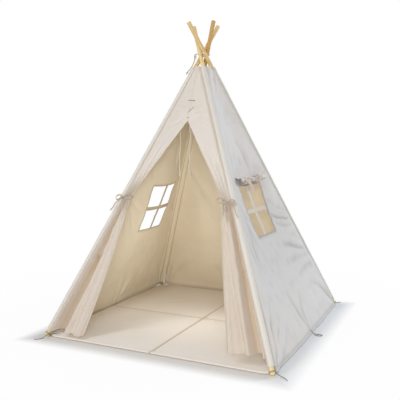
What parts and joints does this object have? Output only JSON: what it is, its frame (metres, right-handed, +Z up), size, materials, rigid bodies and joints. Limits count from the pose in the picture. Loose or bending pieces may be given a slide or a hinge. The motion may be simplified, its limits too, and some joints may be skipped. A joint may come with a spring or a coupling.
{
  "type": "kids teepee play tent",
  "caption": "Pyramid play tent for children: crossed wooden poles, cotton cover with tied-back door curtains and rolled-up window flaps, and a padded floor mat.",
  "frame": {"origin": "centre of the footprint on the floor, straight under the poles' crossing", "axes": "+Z up to the crossing; the doorway faces -Y; +X is to the right of a person looking in at the doorway"},
  "size_m": [1.3366, 1.3366, 1.6099],
  "materials": {
    "wood": "smooth turned softwood, clear sealed",
    "ferrule": "zinc-plated tube",
    "canvas": "plain-woven natural cotton canvas",
    "padding": "quilted cotton over thin wadding",
    "cord": "braided cotton cord"
  },
  "bodies": {
    "mat": {"floor_mat": "padding"},
    "cover": {"wall_left": "canvas", "wall_right": "canvas", "wall_back": "canvas", "front_yoke": "canvas", "window_bars_left": "canvas", "window_bars_right": "canvas", "lashing_cord": "cord", "lashing_tail": "cord", "door_lace": "cord", "lace_end_left": "cord", "lace_end_right": "cord", "stake_loop_left": "cord", "stake_loop_right": "cord"},
    "leg_front_left": {"pole_front_left_1": "wood", "pole_front_left_2": "wood", "pole_front_left_3": "wood", "pole_front_left_4": "wood", "ferrule_front_left_1": "ferrule", "ferrule_front_left_2": "ferrule", "ferrule_front_left_3": "ferrule", "sleeve_front_left": "canvas", "corner_tie_front_left": "cord", "curtain_left": "canvas", "tie_back_left": "canvas"},
    "leg_front_right": {"pole_front_right_1": "wood", "pole_front_right_2": "wood", "pole_front_right_3": "wood", "pole_front_right_4": "wood", "ferrule_front_right_1": "ferrule", "ferrule_front_right_2": "ferrule", "ferrule_front_right_3": "ferrule", "sleeve_front_right": "canvas", "corner_tie_front_right": "cord", "curtain_right": "canvas", "tie_back_right": "canvas"},
    "leg_back_right": {"pole_back_right_1": "wood", "pole_back_right_2": "wood", "pole_back_right_3": "wood", "pole_back_right_4": "wood", "ferrule_back_right_1": "ferrule", "ferrule_back_right_2": "ferrule", "ferrule_back_right_3": "ferrule", "sleeve_back_right": "canvas", "corner_tie_back_right": "cord"},
    "leg_back_left": {"pole_back_left_1": "wood", "pole_back_left_2": "wood", "pole_back_left_3": "wood", "pole_back_left_4": "wood", "ferrule_back_left_1": "ferrule", "ferrule_back_left_2": "ferrule", "ferrule_back_left_3": "ferrule", "sleeve_back_left": "canvas", "corner_tie_back_left": "cord"},
    "window_roll_left": {"window_flap_left": "canvas", "flap_ribbon_left_front": "canvas", "flap_ribbon_left_rear": "canvas"},
    "window_roll_right": {"window_flap_right": "canvas", "flap_ribbon_right_front": "canvas", "flap_ribbon_right_rear": "canvas"}
  },
  "joints": [
    {"name": "tent_lift", "type": "slide", "parent": "mat", "child": "cover", "axis": [0, 0, 1], "range_m": [0, 0.68]},
    {"name": "front_left_leg_fold", "type": "hinge", "parent": "cover", "child": "leg_front_left", "pos_m": [0, 0, 1.4475], "axis": [0.7071, -0.7071, 0], "range_deg": [0, 24], "deforming": ["curtain_left"]},
    {"name": "front_right_leg_fold", "type": "hinge", "parent": "cover", "child": "leg_front_right", "pos_m": [0, 0, 1.4475], "axis": [0.7071, 0.7071, 0], "range_deg": [0, 24], "deforming": ["curtain_right"]},
    {"name": "back_right_leg_fold", "type": "hinge", "parent": "cover", "child": "leg_back_right", "pos_m": [0, 0, 1.4475], "axis": [-0.7071, 0.7071, 0], "range_deg": [0, 24]},
    {"name": "back_left_leg_fold", "type": "hinge", "parent": "cover", "child": "leg_back_left", "pos_m": [0, 0, 1.4475], "axis": [-0.7071, -0.7071, 0], "range_deg": [0, 24]},
    {"name": "window_roll_left_lift", "type": "hinge", "parent": "cover", "child": "window_roll_left", "pos_m": [-0.22863, 0.03664, 0.79669], "axis": [0.0272, 0.9996, 0], "range_deg": [0, 55]},
    {"name": "window_roll_right_lift", "type": "hinge", "parent": "cover", "child": "window_roll_right", "pos_m": [0.23031, 0.02334, 0.79684], "axis": [-0.0272, -0.9996, 0], "range_deg": [0, 55]}
  ],
  "couplings": [
    {"joint": "front_left_leg_fold", "follows": "tent_lift", "rad_per_m": 0.616},
    {"joint": "front_right_leg_fold", "follows": "tent_lift", "rad_per_m": 0.616},
    {"joint": "back_right_leg_fold", "follows": "tent_lift", "rad_per_m": 0.616},
    {"joint": "back_left_leg_fold", "follows": "tent_lift", "rad_per_m": 0.616}
  ]
}
